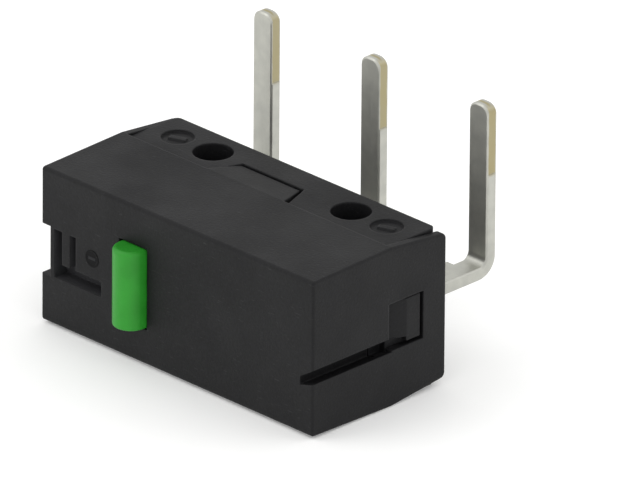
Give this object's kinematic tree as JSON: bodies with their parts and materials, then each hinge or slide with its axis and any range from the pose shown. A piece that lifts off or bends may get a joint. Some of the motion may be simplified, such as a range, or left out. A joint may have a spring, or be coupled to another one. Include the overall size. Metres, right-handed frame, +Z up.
{
  "type": "micro switch",
  "caption": "Small rectangular snap-action switch with a round-nosed pin plunger, cross holes for mounting and flat solder legs bent to one broad side.",
  "frame": {"origin": "midway between the two mounting holes, on the broad face that the switch lies on", "axes": "+X along the body towards the normally closed terminal, +Y from the plunger face to the terminal face, +Z up across the broad faces"},
  "size_m": [0.0128, 0.0102, 0.0089],
  "materials": {
    "housing_black": "fine-textured glass-filled polyester",
    "plunger_green": "moulded polyester, satin",
    "plated_brass": "tin-plated brass, sheared edges bare at the solder end",
    "contact_silver": "silver alloy",
    "spring_copper": "beryllium copper strip"
  },
  "bodies": {
    "housing": {"cover": "housing_black", "base": "housing_black", "common_terminal": "plated_brass", "normally_open_terminal": "plated_brass", "normally_closed_terminal": "plated_brass", "normally_open_contact": "contact_silver", "normally_closed_contact": "contact_silver"},
    "button": {"plunger": "plunger_green"},
    "contact_arm": {"moving_blade": "spring_copper", "moving_contact": "contact_silver"}
  },
  "joints": [
    {"name": "plunger_slide", "type": "slide", "parent": "housing", "child": "button", "axis": [0, 1, 0], "range_m": [0, 0.0006], "stiffness_N_per_m": 1200, "springref_m": -0.00005, "deforming": ["moving_blade"]},
    {"name": "contact_swing", "type": "hinge", "parent": "housing", "child": "contact_arm", "pos_m": [-0.0048, -0.0029, 0.0029], "axis": [0, 0, 1], "range_deg": [0, 1.5]}
  ],
  "couplings": [
    {"joint": "contact_swing", "follows": "plunger_slide", "rad_per_m": 43.5}
  ]
}
